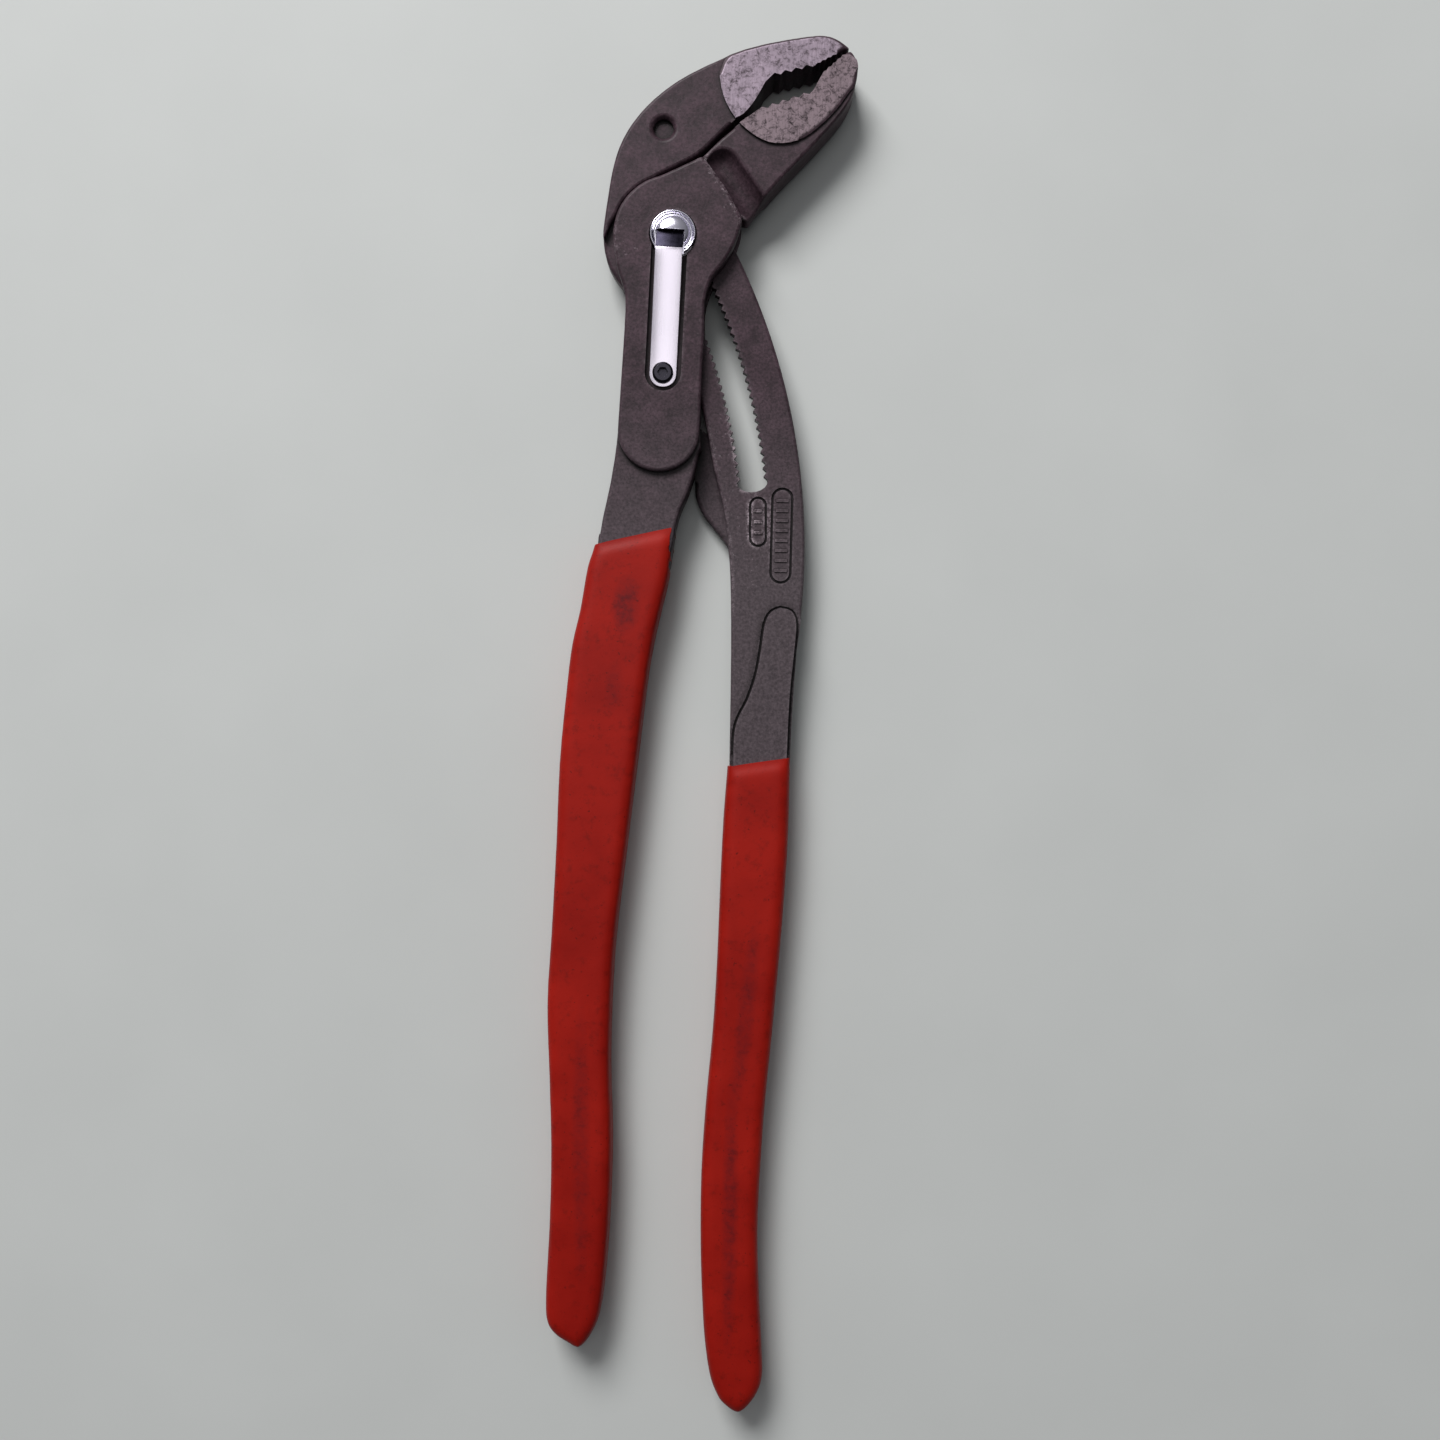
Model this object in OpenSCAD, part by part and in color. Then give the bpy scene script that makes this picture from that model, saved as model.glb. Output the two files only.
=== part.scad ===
// Tongue and groove pliers with a push-button joint in a toothed slot.
// The pivot's axis is the Z axis and the back of the joint lies on Z = 0.
// The jaws point to +Y and the handles to -Y. All sizes are in millimetres.

/* [Joint] */
// Thickness of the joint over both ears
joint_t = 15; // [14.6:0.1:15.4]
// Thickness of the slotted arm where it runs between the ears
rail_t = 6; // [5.6:0.1:6.2]
// Gap between the slotted arm and each ear
side_gap = 0.1; // [0.05:0.05:0.2]
// Diameter of the button's hole in the front ear
button_hole_d = 13.8; // [13.7:0.05:13.9]
// Diameter of the push button
button_d = 13.1; // [12.8:0.1:13.2]
// Travel of the push button
button_travel = 3.1; // [3.1:0.05:3.2]

/* [Toothed slot] */
// Radius of the curved row of jaw positions
rack_r = 178.5; // [178.3:0.1:178.7]
// Angle between two neighbouring jaw positions
tooth_step = 0.75; // [0.74:0.01:0.76]
// Depth of a slot tooth
tooth_h = 1.1; // [0.9:0.05:1.2]
// Width of the slot between the roots of its teeth
slot_w = 9.1; // [8.9:0.1:9.2]
// Number of teeth along each side of the slot
slot_teeth = 34; // [32:1:34]

/* [Jaws] */
// Thickness of the forged jaws
jaw_t = 11.4; // [11:0.1:12]
// Height of the ground flat over the forged face
ground_h = 0.8; // [0.5:0.1:1]
// Depth of the pipe teeth
pipe_tooth_h = 0.9; // [0.5:0.1:1]

/* [Handles] */
// Thickness of the steel inside the grips
core_t = 9; // [8:0.5:9.5]
// Thickness of a grip
grip_t = 13; // [12.5:0.25:13.5]
// Thickness of the dipped coating at a grip's edges
coat_t = 1.7; // [1.4:0.1:2]

/* [Spring] */
// Width of the leaf spring
spring_w = 7.8; // [7.4:0.1:8]
// Thickness of the leaf spring
spring_t = 0.9; // [0.8:0.05:1]
// Diameter of the screw's head
screw_head_d = 6; // [5.6:0.1:6.4]

/* [Hidden] */

STEEL = "#5a4f50";
BRIGHT = "#c9ccd0";
RED = "#8f201c";
BLACK = "#4a4a4e";
EPS = 0.05;
BORE_FN = 96;

// Heights through the joint, from the back face
mid_z = joint_t / 2;
rail_z0 = mid_z - rail_t / 2;
rail_z1 = mid_z + rail_t / 2;
ear_t = rail_z0 - side_gap;
front_z = rail_z1 + side_gap;
jaw_z0 = mid_z - jaw_t / 2;
pocket_z = joint_t - 1.8;

// The slot's arc has its centre far to the lower left of the pivot
RACK_ANGLE = 30;
rack_x = -rack_r * cos(RACK_ANGLE);
rack_y = -rack_r * sin(RACK_ANGLE);
rail_in = rack_r - 10.7;
rail_out = rack_r + 14.3;
web_gap = 0.45;
teeth_above = 3.5;
teeth_below = slot_teeth - 2;
slot_end_angle = 1;

// Radii round the pivot: the front and back ears, the jaw's shoulder over them,
// the slotted arm's lobe between them and the room that the lobe turns in
ear_r = 17.2;
shoulder_r = 17.6;
lobe_r = 20.3;
lobe_room_r = 21.5;

// Thicknesses of the forged stretches between the joint and the grips
shank_t = 11;
pad_t = 10;

// The key's toothed part and the bolt inside it
key_r = button_hole_d / 2 - 0.05;
key_clear = 0.14;
KEY_HALF = 5;
key_z0 = mid_z + 0.1;
key_z1 = rail_z1 - 0.1;
key_top = front_z + button_travel;
stem_r = 2.2;
journal_r = 4.4;
stub_r = 3.4;
groove_r = 2.9;
running = 0.05;
recess_r = 6.2;
recess_z = 1;
journal_z = 2;

// The leaf spring runs from its screw to the button
SCREW = [-2.9, -40];
SPRING_TURN = 3;
spring_tip = 40.3;
screw_r = 1.5;

function arc(c, r, a0, a1, n) = [for (i = [0:n]) let (a = a0 + (a1 - a0) * i / n) c + r * [cos(a), sin(a)]];
function on_rack(r, a) = [rack_x + r * cos(a), rack_y + r * sin(a)];
function rack_arc(r, a0, a1, n) = arc([rack_x, rack_y], r, a0, a1, n);

// A smooth run through hand-placed points, with n steps between two of them
function between(a, b, c, d, t) =
    0.5 * (2 * b + (c - a) * t + (2 * a - 5 * b + 4 * c - d) * t * t + (3 * b - a - 3 * c + d) * t * t * t);
function run(p, n) = concat([for (i = [0:len(p) - 2]) for (k = [0:n - 1])
    between(p[max(i - 1, 0)], p[i], p[i + 1], p[min(i + 2, len(p) - 1)], k / n)], [p[len(p) - 1]]);

// n teeth from a to b, each with its valley h to the left of the way from a to b
function teeth(a, b, n, h) = [for (i = [0:2 * n])
    a + (b - a) * i / (2 * n) + (i % 2) * h * [a[1] - b[1], b[0] - a[0]] / norm(b - a)];

// One toothed side, in half steps of the teeth: even ones lie at r, odd ones at r + tip
function rack_side(r, tip, h0, h1) = [for (h = [h0:h1])
    on_rack(r + (h % 2 == 0 ? 0 : tip), RACK_ANGLE + h * tooth_step / 2)];
function backwards(p) = [for (i = [len(p) - 1:-1:0]) p[i]];

// ---- Outlines shared by the two arms ----

JAW_TIP = [51.4, 53.6];

module ground_oval() {
    polygon(run([[13.4, 46.5], [14.6, 40], [18.2, 33.4], [24, 28.4], [29.5, 26.4], [36, 27.2], [41.5, 30.6],
                 [47, 36], [51, 41.4], [56, 48], [52, 60], [38, 60], [24, 56], [16, 52], [13.4, 46.5]], 3));
}

module inside_rack(r) {
    translate([rack_x, rack_y]) circle(r, $fn = 720);
}

// ---- Upper jaw arm ----

module upper_jaw_outline() {
    back = run([[-20.2, -1.4], [-20.2, 1.4], [-19.7, 5.6], [-18.7, 12.2], [-17.5, 19.1], [-15.4, 26.1],
                [-11.5, 33], [-5.1, 40], [4.8, 46.9], [20.9, 53.8], [38.3, 57.3], [46, 57.2], JAW_TIP], 3);
    nose = teeth([50, 53.4], [41, 48.8], 6, -0.35);
    roof = teeth([40.2, 48.4], [28, 45.4], 4, -pipe_tooth_h);
    throat = run([[26.6, 44], [24.6, 40.4], [22.6, 37.4], [20.2, 34.8], [18.2, 33.8]], 2);
    slit = run([[17.6, 33.2], [11.4, 27.2], [7.4, 23.5], [1.2, 20.2], [-4.4, 17.6]], 2);
    shoulder = arc([0, 0], shoulder_r, 107, 160, 12);
    tail = [[-17.2, 4.8], [-18.1, 3.4], [-18.9, 1.6], [-19.6, 0]];
    polygon(concat(back, nose, roof, throat, slit, shoulder, tail));
}

module upper_rail_outline() {
    outer = rack_arc(rail_out, -9, 36, 45);
    inner = rack_arc(rail_in, 36, 8, 28);
    left = run([on_rack(rail_in, 8), [14.6, -78.4], [15.7, -87], [16.6, -98], [16.8, -120], [16.3, -153]], 3);
    right = run([[33.8, -153], [34.6, -136], on_rack(rail_out, -9)], 3);
    polygon(concat(outer, inner, left, right));
}

// The handle's raised pad starts with a rounded top and an S-shaped left side
module upper_pad_outline() {
    polygon(concat(
        run([[31, -107.4], [28.4, -108.6], [26.6, -112], [25.4, -120], [24, -127], [21.6, -134],
             [18.8, -139.4], [17.6, -145], [17.4, -156]], 3),
        run([[32.6, -156], [33.6, -134], [35, -120], [35.6, -112], [34.2, -108.4], [31, -107.4]], 3)));
}

module toothed_slot() {
    low_end = RACK_ANGLE - teeth_below * tooth_step;
    high_end = RACK_ANGLE + teeth_above * tooth_step;
    end = [for (t = [20:20:160]) on_rack(rack_r + slot_w / 2 * cos(t), low_end - slot_end_angle * sin(t))];
    root_in = rack_r - slot_w / 2;
    root_out = rack_r + slot_w / 2;
    // The back half of the slot is cut clear of teeth, so the pressed key can pass
    translate([0, 0, rail_z0 - 1]) linear_extrude(mid_z - rail_z0 + 1)
        polygon(concat(rack_arc(root_in, low_end, high_end, 40), rack_arc(root_out, high_end, low_end, 40),
                       end));
    translate([0, 0, mid_z - EPS]) linear_extrude(rail_t)
        polygon(concat(rack_side(root_in, tooth_h, -2 * teeth_below, 2 * teeth_above),
                       backwards(rack_side(root_out, -tooth_h, -2 * teeth_below, 2 * teeth_above)), end));
}

// A blank cartouche: a fine groove round a field with short plain ribs across it
GROOVE = 0.75;
GROOVE_DEPTH = 0.7;
RIB = [0.9, 0.3];

DIMPLE_D = 5.7;
DIMPLE_DEPTH = 2.2;

module stadium(w, l) {
    straight = (l - w) / 2;
    polygon(concat(arc([0, straight], w / 2, 0, 180, 16), arc([0, -straight], w / 2, 180, 360, 16)));
}

module cartouche_groove(w, l) translate([0, 0, rail_z1 - GROOVE_DEPTH]) linear_extrude(1) difference() {
    stadium(w, l);
    stadium(w - 2 * GROOVE, l - 2 * GROOVE);
}

module cartouche_ribs(w, count, pitch) for (i = [0:count - 1])
    translate([-w / 2, (i - (count - 1) / 2) * pitch - RIB[0] / 2, rail_z1 - EPS])
        cube([w, RIB[0], RIB[1] + EPS]);

// The same groove runs round the raised pad, down to the grip
module pad_groove() translate([0, 0, rail_z1 - GROOVE_DEPTH]) linear_extrude(1) intersection() {
    difference() {
        offset(delta = GROOVE) upper_pad_outline();
        upper_pad_outline();
    }
    translate([10, -150]) square([40, 60]);
}

module on_long_cartouche() translate([31.4, -86.3, 0]) rotate(-1.5) children();
module on_small_cartouche() translate([24.6, -82.3, 0]) children();

// A blind hole with a wide countersunk mouth, sunk from Z = 0
module dimple() {
    translate([0, 0, -DIMPLE_DEPTH]) cylinder(h = 3, d = DIMPLE_D, $fn = BORE_FN);
    translate([0, 0, -1]) cylinder(h = 1.2, d1 = DIMPLE_D, d2 = DIMPLE_D + 2.4, $fn = BORE_FN);
}

module upper_jaw_arm() color(STEEL) difference() {
    union() {
        translate([0, 0, jaw_z0]) linear_extrude(jaw_t) upper_jaw_outline();
        translate([0, 0, jaw_z0 - ground_h]) linear_extrude(jaw_t + 2 * ground_h) intersection() {
            upper_jaw_outline();
            ground_oval();
        }
        translate([0, 0, rail_z0]) linear_extrude(rail_t) {
            upper_rail_outline();
            intersection() {
                circle(lobe_r, $fn = BORE_FN);
                inside_rack(rail_out);
            }
        }
        translate([0, 0, mid_z - pad_t / 2]) linear_extrude(pad_t) upper_pad_outline();
        translate([0, 0, mid_z - core_t / 2]) linear_extrude(core_t) right_core_outline();
        on_long_cartouche() cartouche_ribs(3.6, 8, 2.9);
        on_small_cartouche() cartouche_ribs(2.4, 3, 3.2);
    }
    toothed_slot();
    on_long_cartouche() cartouche_groove(6.5, 28);
    on_small_cartouche() cartouche_groove(5.3, 14.7);
    pad_groove();
    translate([-2.7, 31.1, jaw_z0 + jaw_t]) dimple();
}

// ---- Lower jaw arm ----

module ear_outline() {
    right = run([[7.7, -56.5], [8.4, -40], [9.1, -28], [9.2, -19.6], [11.2, -12.8], [14.5, -8.6], [17.3, -4],
                 [19.4, 1.6], [19.9, 4.6]], 3);
    worn = run([[19.9, 4.6], [17.4, 9.4], [15.2, 13.4], [12.4, 17.4], [8.8, 22.2]], 2);
    top = run([[8.6, 22.6], [6.5, 21.5], [1.8, 19.3], [-3, 17.1]], 2);
    left = run([[-16.9, -4.4], [-15.9, -10.4], [-14.1, -15.9], [-13.7, -22], [-14.8, -40],
                [-15.9, -56.5]], 3);
    foot = arc([-4.1, -56.5], 11.8, 184, 356, 24);
    polygon(concat(right, worn, top, arc([0, 0], ear_r, 103, 190, 22), left, foot));
}

// A guard at the back keeps fingers out of the crotch between the arms
module guard_outline() {
    polygon(concat([[7.7, -54]], rack_arc(rail_in + 5, 10, 3, 6),
                   run([[18.6, -83.2], [19.2, -87.4], [18.6, -90.2], [16.9, -90.3], [14.8, -87.2],
                        [11.4, -82.9], [8.2, -78.6], [6.3, -73.6], [6.2, -69], [4, -62]], 3)));
}

module lower_jaw_outline() {
    wall = run([[19.2, 0], [20.9, 3.6], [27.4, 12], [33, 18.2], [39.5, 24.9], [47.8, 34.1], [51.8, 40.6],
                [53.3, 46.9], [53, 50.4], JAW_TIP - [0, 0.3]], 3);
    nose = teeth([50.2, 53], [43.4, 47], 5, 0.35);
    bed = teeth([40.6, 41.8], [25.6, 36.8], 5, pipe_tooth_h);
    root = run([[24.2, 35.8], [22, 34.2], [20, 32.9], [14, 28.2], [9.6, 23.9]], 2);
    polygon(concat(wall, [[50.9, 53.1]], nose, bed, root, [[4, 18.4], [10, 0]]));
}

// Where the lower jaw's neck may be solid: outside the rail, and clear of the
// rail's edge when the handles are opened by 30 degrees
module neck_room() {
    difference() {
        translate([-20, -20]) square(100);
        inside_rack(rail_out + web_gap);
        rotate(RACK_ANGLE + 30) translate([-60, -60]) square([60 + rail_out - rack_r + web_gap, 120]);
    }
}

module lower_shank_outline() {
    polygon(concat(run([[-13.4, -22], [-14.8, -40], [-15.9, -56.5], [-18.1, -71.2], [-20.4, -81.6],
                        [-22, -92]], 2),
                   run([[-1, -92], [1.6, -80.4], [4.1, -74.6], [6, -68.6], [7.4, -62], [7.7, -56.5], [0, -18],
                        [-12, -18]], 2)));
}

// A round-bottomed valley between the ear's worn edge and the jaw. It starts round
// just short of the slit and runs out through the jaw's wall
VALLEY_R = 5.2;
VALLEY_SINK = 2;

module valley() translate([14.3, 20.4, 0]) {
    rotate([0, 0, -55]) rotate([0, 90, 0]) cylinder(h = 40, r = VALLEY_R, $fn = BORE_FN);
    sphere(VALLEY_R, $fn = BORE_FN);
}

module spring_pocket() {
    half_w = spring_w / 2 + 1.3;
    translate([SCREW[0], SCREW[1], pocket_z]) rotate(-SPRING_TURN) {
        translate([-half_w, 0, 0]) cube([2 * half_w, 38, joint_t]);
        cylinder(h = joint_t, r = half_w, $fn = BORE_FN);
    }
}

module lower_jaw_arm() color(STEEL) difference() {
    union() {
        difference() {
            translate([0, 0, jaw_z0]) linear_extrude(jaw_t) intersection() {
                lower_jaw_outline();
                neck_room();
            }
            for (side = [-1, 1]) translate([0, 0, mid_z + side * (jaw_t / 2 + VALLEY_SINK)]) valley();
        }
        translate([0, 0, jaw_z0 - ground_h]) linear_extrude(jaw_t + 2 * ground_h) intersection() {
            lower_jaw_outline();
            ground_oval();
        }
        translate([0, 0, mid_z - shank_t / 2]) linear_extrude(shank_t) difference() {
            intersection() {
                lower_shank_outline();
                inside_rack(rail_in - web_gap);
            }
            circle(lobe_room_r, $fn = BORE_FN);
        }
        linear_extrude(ear_t) {
            ear_outline();
            guard_outline();
        }
        translate([0, 0, front_z]) linear_extrude(joint_t - front_z) ear_outline();
        translate([0, 0, mid_z - core_t / 2]) linear_extrude(core_t) left_core_outline();
    }
    translate([0, 0, front_z - 1]) cylinder(h = joint_t, d = button_hole_d, $fn = BORE_FN);
    translate([0, 0, journal_z]) cylinder(h = 3, r = journal_r + running, $fn = BORE_FN);
    translate([0, 0, -1]) cylinder(h = 4, r = stub_r + running, $fn = BORE_FN);
    translate([0, 0, -1]) cylinder(h = 1 + recess_z, r = recess_r, $fn = BORE_FN);
    translate([SCREW[0], SCREW[1], front_z - 1]) cylinder(h = 5, r = screw_r + running, $fn = BORE_FN);
    spring_pocket();
}

// ---- Button joint ----

// The journal turns in the back ear and the stem guides the key
module pivot_bolt() color(BRIGHT) difference() {
    union() {
        cylinder(h = journal_z + EPS, r = stub_r, $fn = BORE_FN);
        translate([0, 0, journal_z]) cylinder(h = rail_z0 - journal_z, r = journal_r, $fn = BORE_FN);
        translate([0, 0, rail_z0 - EPS]) cylinder(h = front_z - rail_z0, r = stem_r, $fn = BORE_FN);
    }
    translate([0, 0, 0.4]) difference() {
        cylinder(h = recess_z - 0.4, r = recess_r, $fn = BORE_FN);
        translate([0, 0, -1]) cylinder(h = 3, r = groove_r, $fn = BORE_FN);
    }
}

module retaining_ring() color(BRIGHT) translate([0, 0, 0.45]) difference() {
    cylinder(h = recess_z - 0.5, r = 5.5, $fn = BORE_FN);
    translate([0, 0, -1]) cylinder(h = 3, r = groove_r, $fn = BORE_FN);
    translate([-1.4, -7, -1]) cube([2.8, 7, 3]);
}

module locking_key() color(BRIGHT) difference() {
    crest_in = rack_r - slot_w / 2 + key_clear;
    crest_out = rack_r + slot_w / 2 - key_clear;
    neck_w = slot_w - 2 * tooth_h - 0.7;
    union() {
        translate([0, 0, key_z0]) linear_extrude(key_z1 - key_z0)
            polygon(concat(rack_side(crest_in, tooth_h, -KEY_HALF, KEY_HALF),
                           backwards(rack_side(crest_out, -tooth_h, -KEY_HALF, KEY_HALF))));
        intersection() {
            rotate(RACK_ANGLE) translate([-neck_w / 2, -key_r - 1, key_z1 - 0.6])
                cube([neck_w, 2 * key_r + 2, key_top - key_z1 + 0.6]);
            cylinder(h = 2 * joint_t, r = key_r, $fn = BORE_FN);
        }
    }
    cylinder(h = 2 * joint_t, r = stem_r + running, $fn = BORE_FN);
}

module button_cap() color(BRIGHT) difference() {
    translate([0, 0, key_top]) rotate_extrude($fn = BORE_FN)
        polygon(concat([[0, 0], [button_d / 2, 0]],
                       [[button_d / 2, 1.9], [button_d / 2 - 0.5, 2.5], [5, 2.1], [4.4, 2.7]],
                       arc([0, -3.2], 6.6, 55, 90, 7)));
    translate([SCREW[0], SCREW[1], key_top + 0.9]) rotate(-SPRING_TURN)
        translate([-spring_w / 2 - 0.3, 30, 0]) cube([spring_w + 0.6, spring_tip + 0.5 - 30, 5]);
}

// The strip is flat under the screw, rises out of its pocket and dips into the button
module leaf_spring() color(BRIGHT) translate([SCREW[0], SCREW[1], pocket_z]) rotate(-SPRING_TURN) {
    low = run([[0, 0], [5, 0.05], [12, 0.7], [22, 1.7], [31, 2.75], [35.4, 3.1], [37, 2.7],
               [spring_tip, 1.7]], 2);
    high = [for (i = [len(low) - 1:-1:0]) low[i] + [0, spring_t]];
    difference() {
        union() {
            translate([-spring_w / 2, 0, 0]) rotate([90, 0, 90]) linear_extrude(spring_w)
                polygon(concat(low, high));
            cylinder(h = spring_t, d = spring_w, $fn = BORE_FN);
        }
        translate([0, 0, -1]) cylinder(h = 3, r = screw_r + running, $fn = BORE_FN);
    }
}

module spring_screw() color(BLACK) translate([SCREW[0], SCREW[1], pocket_z + spring_t]) difference() {
    wall_h = 1.3;
    crown_h = 0.5;
    crown_d = screw_head_d - 1.2;
    shank_h = pocket_z + spring_t - front_z;
    union() {
        translate([0, 0, 0.3 - shank_h]) cylinder(h = shank_h, r = screw_r, $fn = BORE_FN);
        cylinder(h = wall_h, d = screw_head_d, $fn = BORE_FN);
        translate([0, 0, wall_h]) cylinder(h = crown_h, d1 = screw_head_d, d2 = crown_d, $fn = BORE_FN);
    }
    translate([0, 0, 0.3]) cylinder(h = 3, d = 3.1, $fn = 6);
}

// ---- Grips ----

module left_grip_outline() {
    outer = run([[-21.9, -89], [-24.6, -94.2], [-27, -107.7], [-29.4, -118], [-31, -131], [-33, -152],
                 [-34, -176], [-35.4, -202], [-36.6, -222], [-36, -243], [-35.5, -264], [-35.9, -285],
                 [-37, -306], [-36.6, -314.6], [-33.6, -318.6]], 3);
    inner = run([[-24.4, -319], [-21.6, -313.3], [-20, -303], [-18.6, -285], [-17.9, -262], [-18.4, -238],
                 [-17.2, -208], [-13.6, -177], [-10, -148], [-7, -124.5], [-4.2, -110.6], [-1.1, -97.6],
                 [1, -84]], 3);
    end = run([[-33.6, -318.6], [-30.4, -320.4], [-27.4, -322.1], [-24.4, -319]], 2);
    polygon(concat(outer, end, inner));
}

module right_grip_outline() {
    left = run([[15.8, -153.4], [14.6, -168], [13.6, -188], [12.7, -210], [11.4, -231], [9.4, -252],
                [8.1, -272], [7.9, -292], [8.4, -309], [9.2, -321], [10.8, -331], [13.4, -337]], 3);
    right = run([[23.8, -336], [25.8, -330.6], [25.5, -319], [24.7, -301], [24.6, -283], [26.4, -254],
                 [29.2, -226], [31.8, -197], [33.4, -173], [33.9, -150.8]], 3);
    end = run([[13.4, -337], [16, -339.3], [18.7, -340.8], [21.4, -339], [23.8, -336]], 2);
    polygon(concat(left, end, right));
}

module left_core_outline() {
    offset(delta = -coat_t) left_grip_outline();
    polygon([[-21.6, -86], [1, -82], [-1, -96], [-22.4, -96]]);
}

module right_core_outline() {
    offset(delta = -coat_t) right_grip_outline();
    polygon([[17.2, -150], [33, -150], [31.6, -158], [16.6, -158]]);
}

module grip_body() {
    mid = grip_t - 4;
    translate([0, 0, mid_z - mid / 2]) linear_extrude(mid) children();
    translate([0, 0, mid_z - mid / 2 - 1.2]) linear_extrude(mid + 2.4) offset(delta = -0.7) children();
    translate([0, 0, mid_z - grip_t / 2]) linear_extrude(grip_t) offset(delta = -2.2) children();
}

module left_grip() color(RED) difference() {
    grip_body() left_grip_outline();
    translate([0, 0, mid_z - core_t / 2]) linear_extrude(core_t) left_core_outline();
    translate([0, 0, mid_z - shank_t / 2]) linear_extrude(shank_t) lower_shank_outline();
}

module right_grip() color(RED) difference() {
    grip_body() right_grip_outline();
    translate([0, 0, mid_z - core_t / 2]) linear_extrude(core_t) right_core_outline();
    translate([0, 0, mid_z - pad_t / 2]) linear_extrude(pad_t) upper_pad_outline();
    translate([0, 0, rail_z0]) linear_extrude(rail_t) upper_rail_outline();
}

lower_jaw_arm();
upper_jaw_arm();
pivot_bolt();
locking_key();
button_cap();
leaf_spring();
spring_screw();
retaining_ring();
left_grip();
right_grip();
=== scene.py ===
# %% [markdown]
# # A pair of tongue and groove pliers
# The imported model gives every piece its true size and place. This notebook gives
# the pieces their looks: soft forged edges, a polished button, a spring strip and
# dipped vinyl grips. It starts by loading the fixed model around which all is built.

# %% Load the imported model
import math

import bpy
import numpy as np
from mathutils import Matrix, Vector


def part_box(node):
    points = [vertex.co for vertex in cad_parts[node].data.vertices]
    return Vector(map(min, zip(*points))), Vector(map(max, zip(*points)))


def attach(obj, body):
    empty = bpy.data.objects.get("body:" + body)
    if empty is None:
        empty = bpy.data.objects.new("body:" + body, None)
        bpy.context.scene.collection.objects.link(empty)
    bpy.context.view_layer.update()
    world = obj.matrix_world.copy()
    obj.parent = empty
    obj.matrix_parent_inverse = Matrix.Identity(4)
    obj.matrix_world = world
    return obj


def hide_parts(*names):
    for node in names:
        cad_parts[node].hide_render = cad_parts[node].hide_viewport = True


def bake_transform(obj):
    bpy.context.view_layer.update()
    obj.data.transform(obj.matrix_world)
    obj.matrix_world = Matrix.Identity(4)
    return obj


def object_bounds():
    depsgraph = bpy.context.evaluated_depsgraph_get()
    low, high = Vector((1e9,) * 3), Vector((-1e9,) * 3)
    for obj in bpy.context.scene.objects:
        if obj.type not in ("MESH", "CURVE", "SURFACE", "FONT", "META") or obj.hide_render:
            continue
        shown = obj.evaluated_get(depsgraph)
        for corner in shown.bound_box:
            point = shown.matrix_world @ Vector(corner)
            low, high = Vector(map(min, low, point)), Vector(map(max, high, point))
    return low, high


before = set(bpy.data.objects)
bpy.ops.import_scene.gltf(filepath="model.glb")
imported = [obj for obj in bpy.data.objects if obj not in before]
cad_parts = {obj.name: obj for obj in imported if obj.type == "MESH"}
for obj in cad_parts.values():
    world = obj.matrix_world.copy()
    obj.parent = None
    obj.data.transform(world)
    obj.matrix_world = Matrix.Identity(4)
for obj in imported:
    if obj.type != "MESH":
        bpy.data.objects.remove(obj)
cad_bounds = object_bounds()
low, high = (Vector(corner) for corner in cad_bounds)
centre = (low + high) / 2
MM = 0.001
print("model box in mm:", [round(size / MM, 1) for size in high - low])

# %% [markdown]
# ## Camera
# The tool lies flat and is looked at from straight above, close enough for the
# jaws to spread a little towards the edge of the view. The camera is set first, so
# everything after it can be judged in the same view.

# %% Camera straight above the tool
CAMERA_HEIGHT = 430 * MM
CAMERA_OFFSET = Vector((5.4 * MM, 1.7 * MM, 0))
SENSOR = 36.0
LENS = 36.1

camera_data = bpy.data.cameras.new("camera")
camera_data.sensor_width = SENSOR
camera_data.lens = LENS
camera_data.clip_start = 0.01
camera_data.dof.use_dof = False
camera = bpy.data.objects.new("camera", camera_data)
camera.location = (centre.x + CAMERA_OFFSET.x, centre.y + CAMERA_OFFSET.y, CAMERA_HEIGHT)
bpy.context.scene.collection.objects.link(camera)
bpy.context.scene.camera = camera
bpy.context.scene.view_settings.view_transform = "Standard"
print("camera at", tuple(round(value, 4) for value in camera.location))

# %% [markdown]
# ## Helpers for materials
# Colours are written as the hex values that a colour picker shows, and one
# function turns them into the linear values that Blender works with. A second
# function adds a node, sets its inputs by name or links them, and hands back the
# output that the next node needs.

# %% Colour and node helpers
NOISE = "ShaderNodeTexNoise"
RANGE = "ShaderNodeMapRange"
MIX = "ShaderNodeMix"
MATHS = "ShaderNodeMath"


def linear(hex_colour):
    channels = [int(hex_colour[i:i + 2], 16) / 255 for i in (1, 3, 5)]
    return [c / 12.92 if c <= 0.04045 else ((c + 0.055) / 1.055) ** 2.4 for c in channels] + [1.0]


def add(owner, kind, inputs=(), output=0, **settings):
    node = owner.node_tree.nodes.new(kind)
    for name, value in settings.items():
        setattr(node, name, value)
    for key, value in dict(inputs).items():
        if isinstance(value, bpy.types.NodeSocket):
            owner.node_tree.links.new(value, node.inputs[key])
        else:
            node.inputs[key].default_value = value
    return node.outputs[output] if node.outputs else node


def blank(name):
    material = bpy.data.materials.new(name)
    material.use_nodes = True
    material.node_tree.nodes.clear()
    return material, add(material, "ShaderNodeTexCoord", output="Object")


def per_mm(size):
    return 1 / (size * MM)


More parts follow.
